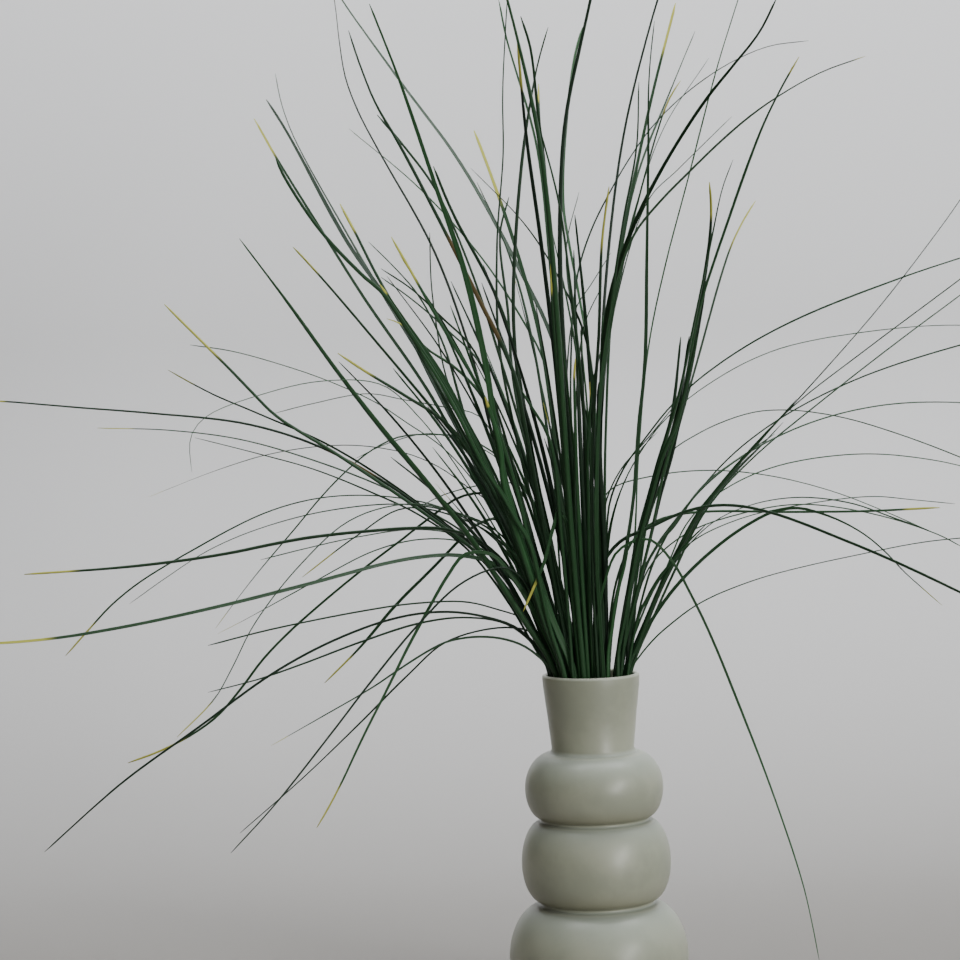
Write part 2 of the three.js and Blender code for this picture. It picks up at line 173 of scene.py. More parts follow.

# %% [markdown]
# ## The glaze
#
# The vase has a satin glaze of grey sage green. Glaze is glass that ran a little in the kiln:
# it is thin and pale on the rim. A fine pale line just below each crease is a painted highlight,
# a cooler colour on top of the rounds is painted light from above, and a warmer, darker colour
# underneath them is painted shade. The glaze varies in broad soft clouds and has a very fine
# skin that blurs what it reflects. So the pale rim and the painted highlight come from the
# height on the vase, the painted light and shade from the tilt of its surface, and the rest
# from noises.

# %% Sage glaze
SAGE = colour(0.350, 0.366, 0.278)
SAGE_CLOUD = colour(0.292, 0.312, 0.236)
# Pale thin glaze on the rim, and also the painted highlight just below each crease.
SAGE_THIN_AND_HIGHLIGHT = colour(0.480, 0.500, 0.400)
# Painted shade under the rounds, and also the colour of the glaze's darker specks.
SAGE_SHADE_AND_SPECK = colour(0.200, 0.190, 0.128)
# Painted light from above: the cooler colour on top of the rounds.
SAGE_TOP_LIGHT = colour(0.350, 0.395, 0.345)
RIM_HEIGHT = 236
RIM_TOP = RIM_HEIGHT * MM
RIM_PALE = (RIM_TOP - 2.2 * MM, RIM_TOP - 0.8 * MM)
CREASES = (74 * MM, 133 * MM, 181 * MM)
# The painted highlight line lies this far below each crease and is this wide.
CREASE_HIGHLIGHT_SPAN = 1.0 * MM
CLOUD_SCALE, SKIN_SCALE, SPECK_SCALE = 22.0, 900.0, 2600.0
TOP_LIGHT_SHARE, UNDER_SHADE_SHARE, CREASE_HIGHLIGHT_SHARE, RIM_SHARE, SPECK_SHARE = 0.7, 0.75, 0.45, 0.7, 0.12


def sage_glaze():
    glaze = Finish("sage_glaze", IOR=1.5, Coat_IOR=1.45, Coat_Roughness=0.28, Coat_Weight=0.25)
    place = glaze.add("ShaderNodeTexCoord", {}, {}, output="Object")
    height = glaze.add("ShaderNodeSeparateXYZ", {}, {0: place}, output="Z")
    clouds = glaze.noise(place, CLOUD_SCALE, detail=4.0, roughness=0.6)
    skin = glaze.noise(place, SKIN_SCALE, detail=2.0)
    specks = glaze.noise(place, SPECK_SCALE, detail=1.0)
    base = glaze.mix(glaze.ramp(clouds, 0.38, 0.64), SAGE, SAGE_CLOUD)
    facing_out = glaze.add("ShaderNodeTexCoord", {}, {}, output="Normal")
    tilt = glaze.add("ShaderNodeSeparateXYZ", {}, {0: facing_out}, output="Z")
    # Painted light from above: glaze that faces up turns cooler.
    base = glaze.mix(glaze.ramp(tilt, 0.05, 0.9) * TOP_LIGHT_SHARE, base, SAGE_TOP_LIGHT)
    # Painted shade: glaze that faces down turns warmer and darker.
    base = glaze.mix(glaze.ramp(0 - tilt, 0.1, 0.85) * UNDER_SHADE_SHARE, base, SAGE_SHADE_AND_SPECK)
    # Painted highlight: a fine pale line just below each crease.
    for crease in CREASES:
        line = 1 - glaze.ramp(abs(height - crease + CREASE_HIGHLIGHT_SPAN), 0.0, CREASE_HIGHLIGHT_SPAN)
        base = glaze.mix(line * CREASE_HIGHLIGHT_SHARE, base, SAGE_THIN_AND_HIGHLIGHT)
    # Thin glaze, paler on the rim.
    base = glaze.mix(glaze.ramp(height, *RIM_PALE) * RIM_SHARE, base, SAGE_THIN_AND_HIGHLIGHT)
    # Darker specks in the glaze itself.
    base = glaze.mix(glaze.ramp(specks, 0.66, 0.8) * SPECK_SHARE, base, SAGE_SHADE_AND_SPECK)
    return glaze.show(
        Base_Color=base,
        Roughness=0.36 + 0.10 * clouds + 0.04 * skin,
        Normal=glaze.bump(skin + 0.6 * clouds, 0.06, 0.2 * MM),
    )


GLAZE = sage_glaze()
print("glaze nodes:", len(GLAZE.node_tree.nodes))

# %% [markdown]
# ## The leaf
#
# A preserved leaf is dyed a deep green that is nearly black in shade. It keeps its parallel
# veins, a paler margin and a straw-yellow tip where the dye didn't take, and a few leaves have
# a dry brown stretch. The middle line along the keel gets a painted highlight in the margin's
# paler colour. Each leaf mesh carries a `leaf_look` attribute: red is how light the green is,
# green how yellow the place is and blue how brown. The UV map gives the place across the leaf
# and the distance along it, so that the veins follow every bend.

# %% Leaf finish
LEAF_DARK = colour(0.0040, 0.0115, 0.0065)
LEAF_GREEN = colour(0.021, 0.086, 0.024)
# The paler margin, and also the painted highlight along the middle line over the keel.
LEAF_MARGIN_AND_HIGHLIGHT = colour(0.075, 0.140, 0.085)
LEAF_STRAW = colour(0.430, 0.430, 0.075)
LEAF_BROWN = colour(0.085, 0.058, 0.016)
VEINS = 7
VEIN_STRETCH = (4.0, 60.0, 1.0)


def bear_grass():
    leaf = Finish("bear_grass", IOR=1.45, Specular_IOR_Level=0.32)
    look = leaf.add("ShaderNodeAttribute", {"attribute_name": "leaf_look"}, {}, output="Color")
    tone = leaf.add("ShaderNodeSeparateColor", {}, {0: look}, output=0)
    yellow = leaf.add("ShaderNodeSeparateColor", {}, {0: look}, output=1)
    brown = leaf.add("ShaderNodeSeparateColor", {}, {0: look}, output=2)
    place = leaf.add("ShaderNodeUVMap", {"uv_map": "leaf_uv"}, {})
    across = leaf.add("ShaderNodeSeparateXYZ", {}, {0: place}, output="X")
    factors = {0: place, 1: VEIN_STRETCH}
    drawn_out = leaf.add("ShaderNodeVectorMath", {"operation": "MULTIPLY"}, factors)
    mottle = leaf.noise(drawn_out, 1.0, detail=3.0)
    wave = across * (VEINS * 2 * math.pi)
    veins = leaf.add("ShaderNodeMath", {"operation": "SINE"}, {0: wave}) * 0.5 + 0.5
    middle = abs(across * 2 - 1)
    margin = leaf.ramp(middle, 0.72, 1.0)
    # The middle line over the keel, where a highlight is painted.
    keel = 1 - leaf.ramp(middle, 0.0, 0.16)
    light = tone * (0.7 + 0.6 * mottle) + 0.10 * veins
    base = leaf.mix(light, LEAF_DARK, LEAF_GREEN)
    # Paler margins, and a painted highlight along the middle line over the keel.
    base = leaf.mix((margin + 0.5 * keel) * (0.15 + 0.45 * tone), base, LEAF_MARGIN_AND_HIGHLIGHT)
    base = leaf.mix(leaf.ramp(brown + 0.5 * mottle, 0.45, 0.95), base, LEAF_BROWN)
    base = leaf.mix(leaf.ramp(yellow + 0.3 * mottle, 0.35, 0.85), base, LEAF_STRAW)
    return leaf.show(
        Base_Color=base,
        Roughness=0.40 + 0.16 * mottle + 0.14 * yellow,
        Normal=leaf.bump(veins + mottle, 0.35, 0.1 * MM),
    )


GRASS = bear_grass()
print("leaf nodes:", len(GRASS.node_tree.nodes))

# %% [markdown]
# ## The vase
#
# A potter turns this shape: three rounds stacked like cushions, pinched in between, under a
# straight neck that flares to a thin rounded rim. A turned thing is a profile swept round an
# axis, so the outline is drawn once, as ovals that meet in tight creases, and spun. The
# radii and heights are the measured model's, except that the creases are a little deeper and
# tighter, with the short upright throat that a potter's tool leaves under each round.

# %% Vase profile
WALL = 3.8 * MM
NECK_RADIUS, NECK_HEIGHT = 28.8 * MM, 181 * MM
RIM_RADIUS, LIP = 34.2 * MM, 1.9 * MM
NECK_SLACK, NECK_REACH = 0.2 * MM, 3 * MM
LIP_TUCK, LIP_REACH = 0.3 * MM, 8 * MM
FOOT_RADIUS, FOOT_BEVEL, FLOOR = 46 * MM, 1.5 * MM, 5 * MM
FOOT_SWELL, SWELL_HEIGHT = 1.2 * MM, 11 * MM
INNER_CORNER = (7 * MM, 4 * MM)
# Each round: its radius and height, then the radius and height of the crease above it.
ROUNDS = (
    (63.0 * MM, 36 * MM, 38.5 * MM, 74 * MM),
    (52.5 * MM, 103 * MM, 37.4 * MM, 133 * MM),
    (48.6 * MM, 156 * MM, NECK_RADIUS, NECK_HEIGHT),
)
THROAT = 2 * MM
# The inside follows the outside, flatter in the creases by this share of the wall.
FLATTEN = 0.5
# Where the ovals begin and end, in degrees: at the foot, under a round and on top of it.
FOOT_START, UNDER_START, TOP_START, TOP_END = -18, -86, 2, 86
ARC_STEPS, BEVEL_STEPS, LIP_STEPS = 22, 4, 12


def arc(centre, reach, start, end, steps=ARC_STEPS):
    """Points on part of an oval, from one angle to another, in degrees."""
    angles = [math.radians(start + (end - start) * i / steps) for i in range(steps + 1)]
    return [
        (centre[0] + reach[0] * math.cos(a), centre[1] + reach[1] * math.sin(a)) for a in angles
    ]


def rounds_outline(inward):
    """The three rounds from bottom to top, moved in by the wall for the inside."""
    points = []
    below = None
    for radius, height, crease, top in ROUNDS:
        if below is None:
            reach = (radius - crease, top - height)
            points += arc((crease - inward, height), reach, FOOT_START, 0)
        else:
            reach = (radius - below[0], height - below[1] - THROAT - FLATTEN * inward)
            points += arc((below[0] - inward, height), reach, UNDER_START, 0)
        reach = (radius - crease, top - height - FLATTEN * inward)
        points += arc((crease - inward, height), reach, TOP_START, TOP_END)
        below = (crease, top)
    return points


def vase_outline():
    neck = NECK_RADIUS + NECK_SLACK
    half = ((NECK_RADIUS + RIM_RADIUS) / 2, (NECK_HEIGHT + RIM_TOP) / 2)
    foot_edge = FOOT_RADIUS - FOOT_BEVEL
    foot = [(0, 0), (foot_edge, 0)]
    foot += arc((foot_edge, FOOT_BEVEL), (FOOT_BEVEL, FOOT_BEVEL), -60, 0, BEVEL_STEPS)
    foot += [((FOOT_RADIUS + ROUNDS[0][0]) / 2 + FOOT_SWELL, SWELL_HEIGHT)]
    neck_out = [(neck, NECK_HEIGHT + NECK_REACH), half, (RIM_RADIUS - LIP_TUCK, RIM_TOP - LIP_REACH)]
    lip = arc((RIM_RADIUS - LIP, RIM_TOP - LIP), (LIP, LIP), 0, 180, LIP_STEPS)
    neck_in = [(half[0] - WALL, half[1]), (neck - WALL, NECK_HEIGHT + NECK_REACH)]
    corner_width, corner_height = INNER_CORNER
    floor = [(foot_edge, FLOOR + corner_height), (FOOT_RADIUS - corner_width, FLOOR), (0, FLOOR)]
    inside = neck_in + rounds_outline(WALL)[::-1] + floor
    return foot + rounds_outline(0) + neck_out + lip + inside


print("vase outline points:", len(vase_outline()))

# %% Spin the vase
TURN_STEPS = 144


def finished(name, mesh_maker, material):
    """A new piece from a bmesh: smooth faces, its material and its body."""
    mesh = bpy.data.meshes.new(name)
    mesh_maker.to_mesh(mesh)
    mesh_maker.free()
    mesh.shade_smooth()
    mesh.materials.append(material)
    piece = bpy.data.objects.new(name, mesh)
    bpy.context.scene.collection.objects.link(piece)
    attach(piece, "root")
    return piece


def make_vase():
    bm = bmesh.new()
    points = [bm.verts.new((radius, 0, height)) for radius, height in vase_outline()]
    edges = [bm.edges.new(pair) for pair in zip(points, points[1:])]
    bmesh.ops.spin(
        bm, geom=points + edges, cent=(0, 0, 0), axis=(0, 0, 1), angle=2 * math.pi,
        steps=TURN_STEPS, use_merge=True,
    )
    bmesh.ops.remove_doubles(bm, verts=bm.verts, dist=0.01 * MM)
    bmesh.ops.recalc_face_normals(bm, faces=bm.faces)
    piece = finished("turned_vase", bm, GLAZE)
    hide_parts("vase")
    return piece


print("vase faces:", len(make_vase().data.polygons))

# %% [markdown]
# ## One leaf
#
# In section a leaf is a shallow V with a keel under it. It is made as a straight blank, an
# eight-sided bar cut into rings, whose rings are then carried along the leaf's middle line.
# Each corner of the bar goes to one point of the section, so the blank stays closed.

# %% Straight blank
RINGS = 96
CORNERS = 8
# Across in half widths and down in keel depths, from the right margin round under the keel.
SECTION = (
    (1.0, 0.0), (0.5, 0.6), (0.0, 1.0), (-0.5, 0.6),
    (-1.0, 0.0), (-0.5, 0.12), (0.0, 0.4), (0.5, 0.12),
)


def make_blank():
    bm = bmesh.new()
    bmesh.ops.create_cone(
        bm, cap_ends=True, segments=CORNERS, radius1=1, radius2=1, depth=1,
    )
    long_edges = [e for e in bm.edges if abs(e.verts[0].co.z - e.verts[1].co.z) > 0.5]
    bmesh.ops.subdivide_edges(bm, edges=long_edges, cuts=RINGS - 2)
    return bm


BLANK = make_blank()
print("blank vertices:", len(BLANK.verts), "of", RINGS * CORNERS)

# %% Middle line


def along(points, count):
    """Count points at even steps along a smooth curve through the given points."""
    ends = [points[0] * 2 - points[1], *points, points[-1] * 2 - points[-2]]
    dense = []
    for i in range(1, len(ends) - 2):
        dense += [curve_point(ends[i - 1:i + 3], step / 12) for step in range(12)]
    dense.append(points[-1].copy())
    lengths = [0.0]
    for a, b in zip(dense, dense[1:]):
        lengths.append(lengths[-1] + (b - a).length)
    line = []
    place = 0
    for k in range(count):
        want = lengths[-1] * k / (count - 1)
        while place < len(dense) - 2 and lengths[place + 1] < want:
            place += 1
        span = lengths[place + 1] - lengths[place]
        line.append(dense[place].lerp(dense[place + 1], min(1, (want - lengths[place]) / span)))
    return line, lengths[-1]


def curve_point(four, share):
    """A point between the second and third of four points, at evenly growing knots."""
    knots = [0.0]
    for a, b in zip(four, four[1:]):
        knots.append(knots[-1] + max(1e-6, (b - a).length) ** 0.5)
    t = knots[1] + (knots[2] - knots[1]) * share
    row = list(four)
    for level in (1, 2, 3):
        row = [blend(row[i], row[i + 1], knots, i, level, t) for i in range(len(row) - 1)]
    return row[0]


def blend(a, b, knots, i, level, t):
    """One step of the curve's pyramid: between knot i and knot i + level, or the middle ones."""
    start, end = (i, i + level) if level < 3 else (1, 2)
    return a.lerp(b, (t - knots[start]) / (knots[end] - knots[start]))


straight = [Vector((0, 0, z)) for z in (0, 1, 2)]
print("a straight line of three points is", round(along(straight, 5)[1], 3))

# %% [markdown]
# ## Shaping a leaf
#
# The width is read from the photograph in four places above the mouth, because a living leaf
# turns edge-on here and lies flat there. What is seen is the width across the line of sight,
# so a leaf that is twisted away from the viewer is made wider in turn. The bright wall also
# spills over both edges and makes a thin dark leaf look thinner than it is, which is added
# back. Each leaf rocks a few degrees about its middle line, since no real one is ruled
# straight.

# %% Shape one leaf
KEEL_SHARE = 0.26
KEEL_LEAST = 0.22 * MM
POINT_LENGTH = 9 * MM
ROCK = math.radians(16)
WIDTH_PLACES = (0.0, 0.12, 0.5, 0.78, 0.95, 1.0)
# What the bright wall hides of a leaf's width, in mm: above and just above the mouth.
SPILL, SPILL_SCALE = 0.95, 0.6
LOW_SPILL, LOW_SPILL_SCALE = 0.9, 1.5
TIP_NARROWING = 0.4
BROWN_FADE = 15 * MM


def shape_leaf(line, length, sides, seen_widths, tone, tip, brown, phase):
    """A blank bent along its line. Tip is the yellow length and brown a stretch, in metres."""
    bm = BLANK.copy()
    look = bm.verts.layers.float_color.new("leaf_look")
    uv = bm.loops.layers.uv.new("leaf_uv")
    place = {}
    for vert in bm.verts:
        ring = round((vert.co.z + 0.5) * (RINGS - 1))
        corner = round(math.atan2(vert.co.y, vert.co.x) / (math.pi / 4)) % CORNERS
        across, down = SECTION[corner]
        forward = line[min(ring + 1, RINGS - 1)] - line[max(ring - 1, 0)]
        forward.normalize()
        rock = Matrix.Rotation(ROCK * math.sin(phase + 7 * ring / RINGS), 3, forward)
        side = rock @ sides[ring]
        under = forward.cross(side).normalized()
        run = length * ring / (RINGS - 1)
        point = min(1.0, max(0.0, length - run) / POINT_LENGTH) ** 0.7
        width = seen_widths[ring] / facing(line[ring], forward, side) * (0.3 + 0.7 * point)
        depth = max(KEEL_LEAST * (0.4 + 0.6 * point), width * KEEL_SHARE)
        vert.co = line[ring] + side * (across * width / 2) + under * ((down - 0.5) * depth)
        yellow = smooth(run, length - 1.3 * tip, length - 0.5 * tip) if tip else 0.0
        dry = brown_at(run, brown) if brown else 0.0
        vert[look] = (tone, yellow, dry, 1.0)
        place[vert] = ((across + 1) / 2, run)
    for face in bm.faces:
        for loop in face.loops:
            loop[uv].uv = place[loop.vert]
    return bm


def facing(point, forward, side):
    """The share of its width that a leaf shows to the viewer."""
    across = forward.cross(point - EYE).normalized()
    turn = min(1.0, abs(side.dot(across)))
    return turn + KEEL_SHARE * (1 - turn * turn) ** 0.5


def widths_along(line, low, seen, tip):
    """The width to show at each ring: low up to the mouth, then the four read widths."""
    mouth = next(i for i, point in enumerate(line) if point.z > RIM_TOP)
    near = seen[0] + LOW_SPILL * math.exp(-seen[0] / LOW_SPILL_SCALE)
    known = [max(low, near), near, *(w + SPILL * (1 - math.exp(-w / SPILL_SCALE)) for w in seen[1:])]
    known[-1] = known[-1] - TIP_NARROWING if tip else known[-1]
    known.append(known[-1])
    result = []
    for ring in range(RINGS):
        share = max(0.0, (ring - mouth) / (RINGS - 1 - mouth))
        i = max(k for k in range(len(WIDTH_PLACES) - 1) if WIDTH_PLACES[k] <= share)
        part = smooth(share, WIDTH_PLACES[i], WIDTH_PLACES[i + 1])
        result.append((known[i] + (known[i + 1] - known[i]) * part) * MM)
    return result


def smooth(value, low, high):
    share = min(1.0, max(0.0, (value - low) / (high - low)))
    return share * share * (3 - 2 * share)


def brown_at(run, stretch):
    start, end = stretch
    return smooth(run, start - BROWN_FADE, start) * (1 - smooth(run, end, end + BROWN_FADE))


print("leaf faces:", len(BLANK.faces))

# %% [markdown]
# ## The measured leaves
#
# The measured model holds the bigger leaves as plain three-cornered bars, in rings from the
# foot to the tip. Each bar is read ring by ring: its middle line, which way its flat side
# faces and its width. The fine leaf then lies exactly where the bar does.

# %% Read a measured leaf


def rings_of(node):
    """A bar's rings from its foot up: three corners each, two on the flat side and the keel."""
    bm = bmesh.new()
    bm.from_mesh(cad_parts[node].data)
    bmesh.ops.remove_doubles(bm, verts=bm.verts, dist=0.01 * MM)
    ring = sorted(bm.verts, key=lambda v: v.co.z)[:3]
    seen = set(ring)
    rings = []
    while ring:
        rings.append([v.co.copy() for v in ring])
        beyond = {e.other_vert(v) for v in ring for e in v.link_edges} - seen
        seen |= beyond
        ring = list(beyond)
    bm.free()
    return in_step(rings)


def in_step(rings):
    """The first ring starts with the two corners of its flat side, and the others follow it."""
    first = rings[0]
    pairs = [(0, 1, 2), (1, 2, 0), (2, 0, 1)]
    order = max(pairs, key=lambda p: (first[p[0]] - first[p[1]]).length)
    steps = [[first[i] for i in order]]
    orders = [(0, 1, 2), (0, 2, 1), (1, 0, 2), (1, 2, 0), (2, 0, 1), (2, 1, 0)]
    for ring in rings[1:]:
        middle = sum(ring, Vector()) / 3
        before = steps[-1]
        centre = sum(before, Vector()) / 3
        best = min(orders, key=lambda o: sum(
            ((ring[o[i]] - middle) - (before[i] - centre)).length_squared for i in range(3)
        ))
        steps.append([ring[i] for i in best])
    return steps


sample = rings_of("left_leaf_01")
sample_width = (sample[0][0] - sample[0][1]).length / MM
print("rings in a measured leaf:", len(sample), "width", round(sample_width, 2))

# %% [markdown]
# ## How each measured leaf looks
#
# Tone runs from 0, nearly black, to 1, a clear green. Tip is the length of the yellow tip in
# millimetres. Then come the seen widths just above the mouth, half way, past three quarters
# and near the tip. Brown is a dry stretch, counted from the foot.

# %% Looks of the measured leaves
LOOKS = {
    "left_leaf": [
        (0.55, 0, (4.0, 3.4, 2.7, 1.3)), (0.60, 24, (2.6, 2.2, 1.8, 1.4)),
        (0.75, 0, (4.6, 3.6, 1.6, 0.7)), (0.55, 40, (3.0, 2.4, 2.2, 1.8)),
        (0.40, 8, (4.2, 3.2, 2.6, 1.6)), (0.75, 34, (3.0, 1.5, 1.2, 1.2)),
        (0.30, 0, (3.2, 2.6, 1.6, 0.8)), (0.65, 0, (4.4, 3.4, 1.8, 0.6)),
        (0.40, 14, (1.4, 0.9, 0.5, 0.4)), (0.45, 46, (3.2, 2.1, 1.5, 1.5)),
        (0.35, 30, (3.0, 1.8, 1.5, 1.6)), (0.30, 36, (2.8, 1.8, 1.4, 1.2)),
        (0.12, 0, (1.4, 1.0, 0.9, 0.6)), (0.45, 54, (2.8, 1.9, 1.4, 1.4)),
        (0.15, 22, (2.0, 1.0, 0.8, 1.0)), (0.30, 22, (2.0, 1.1, 0.8, 0.9)),
        (0.12, 0, (4.2, 3.8, 2.8, 1.4)), (0.45, 34, (1.2, 0.5, 0.7, 1.1)),
        (0.50, 50, (2.4, 1.2, 1.1, 1.2)), (0.60, 14, (1.2, 0.4, 0.35, 0.3)),
        (0.45, 30, (2.2, 1.4, 1.5, 1.0)), (0.20, 0, (3.4, 1.7, 1.0, 0.45)),
        (0.50, 16, (1.4, 0.7, 0.75, 0.5)), (0.20, 0, (2.4, 1.7, 0.9, 0.5)),
        (0.50, 36, (2.8, 1.9, 1.7, 1.7)), (0.25, 0, (3.4, 2.6, 1.7, 1.1)),
    ],
    "right_leaf": [
        (0.50, 8, (2.6, 1.4, 1.1, 0.7)), (0.70, 0, (1.6, 1.1, 0.7, 0.4)),
        (0.35, 0, (2.8, 1.9, 1.0, 0.4)), (0.30, 0, (3.8, 3.4, 1.6, 0.8)),
        (0.30, 0, (2.4, 1.7, 1.6, 1.2)), (0.50, 14, (2.4, 1.9, 1.6, 1.1)),
        (0.60, 0, (1.0, 0.4, 0.4, 0.3)), (0.15, 0, (3.0, 0.5, 0.4, 0.35)),
        (0.60, 0, (0.6, 0.4, 0.4, 0.4)), (0.25, 26, (3.6, 3.2, 2.9, 1.9)),
        (0.45, 20, (2.4, 1.5, 0.6, 0.6)), (0.30, 0, (1.2, 0.6, 0.65, 0.6)),
        (0.35, 0, (1.2, 0.6, 0.8, 0.6)), (0.45, 0, (1.6, 0.8, 0.75, 0.6)),
        (0.60, 26, (1.4, 1.1, 1.2, 1.5)), (0.60, 0, (0.8, 0.5, 0.4, 0.35)),
        (0.70, 0, (1.6, 0.8, 0.9, 0.5)), (0.45, 0, (1.4, 0.9, 0.7, 0.5)),
        (0.05, 0, (3.0, 1.8, 1.5, 1.3)), (0.50, 0, (0.8, 0.5, 0.5, 0.5)),
        (0.40, 48, (3.2, 3.0, 1.9, 1.8)), (0.55, 46, (2.0, 1.5, 1.5, 1.3)),
        (0.20, 0, (1.4, 0.9, 0.6, 0.4)), (0.40, 0, (1.3, 0.8, 0.75, 0.7)),
        (0.70, 0, (2.8, 1.8, 2.2, 1.8)), (0.40, 0, (2.4, 2.0, 1.5, 0.5)),
    ],
    "middle_leaf": [
        (0.12, 0, (5.0, 3.2, 2.4, 1.6)), (0.05, 32, (3.4, 2.5, 2.2, 1.9)),
        (0.30, 0, (3.0, 2.5, 2.1, 0.8)), (0.35, 0, (2.6, 2.0, 1.6, 1.2)),
        (0.50, 0, (3.0, 2.2, 1.7, 1.1)), (0.50, 0, (2.0, 1.8, 0.9, 0.4)),
        (0.45, 62, (2.6, 2.2, 2.0, 1.9)),
    ],
}
BROWN = {"left_leaf_07": (485, 550), "left_leaf_15": (430, 450), "middle_leaf_05": (250, 290)}


def make_measured_leaf(node, tone, tip, seen, turn):
    rings = rings_of(node)
    centres = [(a + b + c) / 3 for a, b, c in rings]
    line, length = along(centres, RINGS)
    lowest = (centres[1] - centres[0]).length / length
    shares = [0.0] + [lowest + (1 - lowest) * i / (len(rings) - 2) for i in range(len(rings) - 1)]
    sides = sides_at(shares, [(b - a).normalized() for a, b, c in rings])
    low = (rings[0][1] - rings[0][0]).length / MM
    widths = widths_along(line, min(low, seen[0] * 1.3), seen, tip)
    brown = [v * MM for v in BROWN[node]] if node in BROWN else None
    bm = shape_leaf(line, length, sides, widths, tone, tip * MM, brown, turn)
    piece = finished("fine_" + node, bm, GRASS)
    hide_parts(node)
    return length


def sides_at(shares, sides):
    """Directions known at some shares of the length, at each ring of the fine leaf."""
    result = []
    i = 0
    for k in range(RINGS):
        share = k / (RINGS - 1)
        while i < len(shares) - 2 and shares[i + 1] < share:
            i += 1
        part = (share - shares[i]) / (shares[i + 1] - shares[i])
        result.append(sides[i].lerp(sides[i + 1], min(1, part)).normalized())
    return result


lengths = []
for family, looks in LOOKS.items():
    for number, (tone, tip, seen) in enumerate(looks, start=1):
        lengths.append(make_measured_leaf(f"{family}_{number:02d}", tone, tip, seen, 1.7 * number))
print("measured leaves:", len(lengths), "longest", round(max(lengths), 3), "m")

# %% [markdown]
# ## The thin leaves between
#
# A bunch has many more leaves than the measured ones: thin ones that arch out low, others that
# stand straight in the middle. Each row gives the place in the mouth, the row from front to
# back, the width, the twist, the tone and the yellow tip, and then the points that the leaf is
# seen to pass through, in millimetres to the right and up. A row's leaves lie at one depth in
# the mouth and fan out forwards or backwards with distance, as the measured ones do.

# %% Thin leaves
LOW_LEFT = [
    (-19, -1.5, (1.0, 0.5, 0.35, 0.3), 30, 0.35, 0, [
        (-28, 270), (-40, 304), (-52, 326), (-68, 342), (-92, 352), (-128, 359), (-181, 356),
        (-229, 345), (-265, 331), (-295, 313), (-322, 295)]),
    (-20, 2.5, (1.2, 0.7, 0.6, 0.8), -30, 0.40, 30, [
        (-30, 272), (-44, 306), (-60, 330), (-84, 346), (-127, 356), (-162, 337), (-200, 310)]),
    (-21, 9.5, (0.9, 0.5, 0.4, 0.4), 20, 0.60, 0, [
        (-31, 268), (-46, 300), (-66, 322), (-90, 336), (-120, 341), (-160, 337), (-197, 330),
        (-229, 323)]),
    (-20, -6.5, (1.4, 0.5, 0.5, 0.7), 40, 0.40, 34, [
        (-30, 272), (-46, 312), (-66, 338), (-96, 354), (-126, 359), (-165, 349), (-202, 318),
        (-235, 278), (-252, 247), (-265, 226), (-292, 200)]),
    (-22, 6.5, (0.9, 0.6, 0.5, 0.35), 20, 0.60, 20, [
        (-32, 268), (-46, 296), (-62, 318), (-86, 331), (-116, 334), (-149, 327), (-193, 306),
        (-242, 281), (-261, 272)]),
    (-19, -10.5, (0.9, 0.9, 0.75, 0.45), 30, 0.10, 0, [
        (-24, 250), (-33, 280), (-45, 303), (-56, 312), (-69, 311), (-92, 300), (-121, 273),
        (-151, 239), (-182, 201), (-225, 150), (-257, 117)]),
    (-26, 1.5, (1.0, 0.75, 0.45, 0.35), -20, 0.15, 0, [
        (-31, 250), (-36, 262), (-42, 267), (-63, 270), (-101, 261), (-128, 239), (-162, 207),
        (-204, 169), (-250, 131)]),
    (-26, 4.5, (0.6, 0.8, 0.7, 0.6), 20, 0.30, 0, [
        (-31, 252), (-38, 268), (-46, 276), (-64, 283), (-86, 289), (-123, 289), (-158, 285),
        (-223, 274), (-268, 264)]),
    (-18, 11.5, (0.8, 0.5, 0.5, 0.4), 20, 0.60, 0, [
        (-24, 290), (-34, 340), (-51, 371), (-70, 371), (-98, 365), (-116, 357)]),
    (-16, 8.5, (0.8, 0.5, 0.5, 0.4), 30, 0.60, 0, [
        (-24, 300), (-40, 355), (-62, 390), (-91, 404), (-109, 408), (-137, 402), (-160, 392)]),
    (-28, 1.0, (1.4, 0.9, 0.6, 0.4), -35, 0.35, 0, [
        (-37, 252), (-57, 289), (-84, 326), (-117, 351), (-148, 367), (-189, 385), (-227, 397),
        (-272, 410)]),
    (-27, 2.0, (0.9, 0.9, 0.8, 0.4), 25, 0.25, 0, [
        (-36, 252), (-47, 265), (-62, 274), (-89, 278), (-119, 275), (-158, 264), (-202, 249),
        (-234, 239), (-269, 231)]),
    (-23, 7.0, (1.6, 1.0, 0.7, 0.7), 45, 0.35, 30, [
        (-32, 262), (-50, 300), (-76, 330), (-110, 354), (-140, 371), (-187, 391), (-240, 408),
        (-290, 416), (-340, 419)]),
    (-21, 7.5, (1.0, 0.5, 0.35, 0.4), 30, 0.60, 0, [
        (-31, 275), (-52, 325), (-74, 368), (-99, 398), (-122, 415), (-145, 431), (-180, 448),
        (-215, 461), (-245, 470), (-273, 475)]),
    (-22, -8.5, (0.8, 0.4, 0.35, 0.3), 30, 0.70, 0, [
        (-33, 275), (-56, 325), (-90, 385), (-115, 420), (-140, 443), (-180, 447), (-220, 440),
        (-263, 425), (-274, 413), (-276, 403), (-275, 386)]),
    (-20, 3.5, (0.9, 0.4, 0.35, 0.35), -30, 0.60, 0, [
        (-28, 290), (-44, 350), (-60, 398), (-73, 419), (-97, 426), (-125, 432), (-150, 437),
        (-190, 431), (-217, 425)]),
    (-21, -5.5, (2.2, 1.8, 1.5, 1.5), 30, 0.45, 30, [
        (-30, 280), (-50, 335), (-72, 380), (-95, 414), (-124, 435), (-150, 452), (-170, 466)]),
]

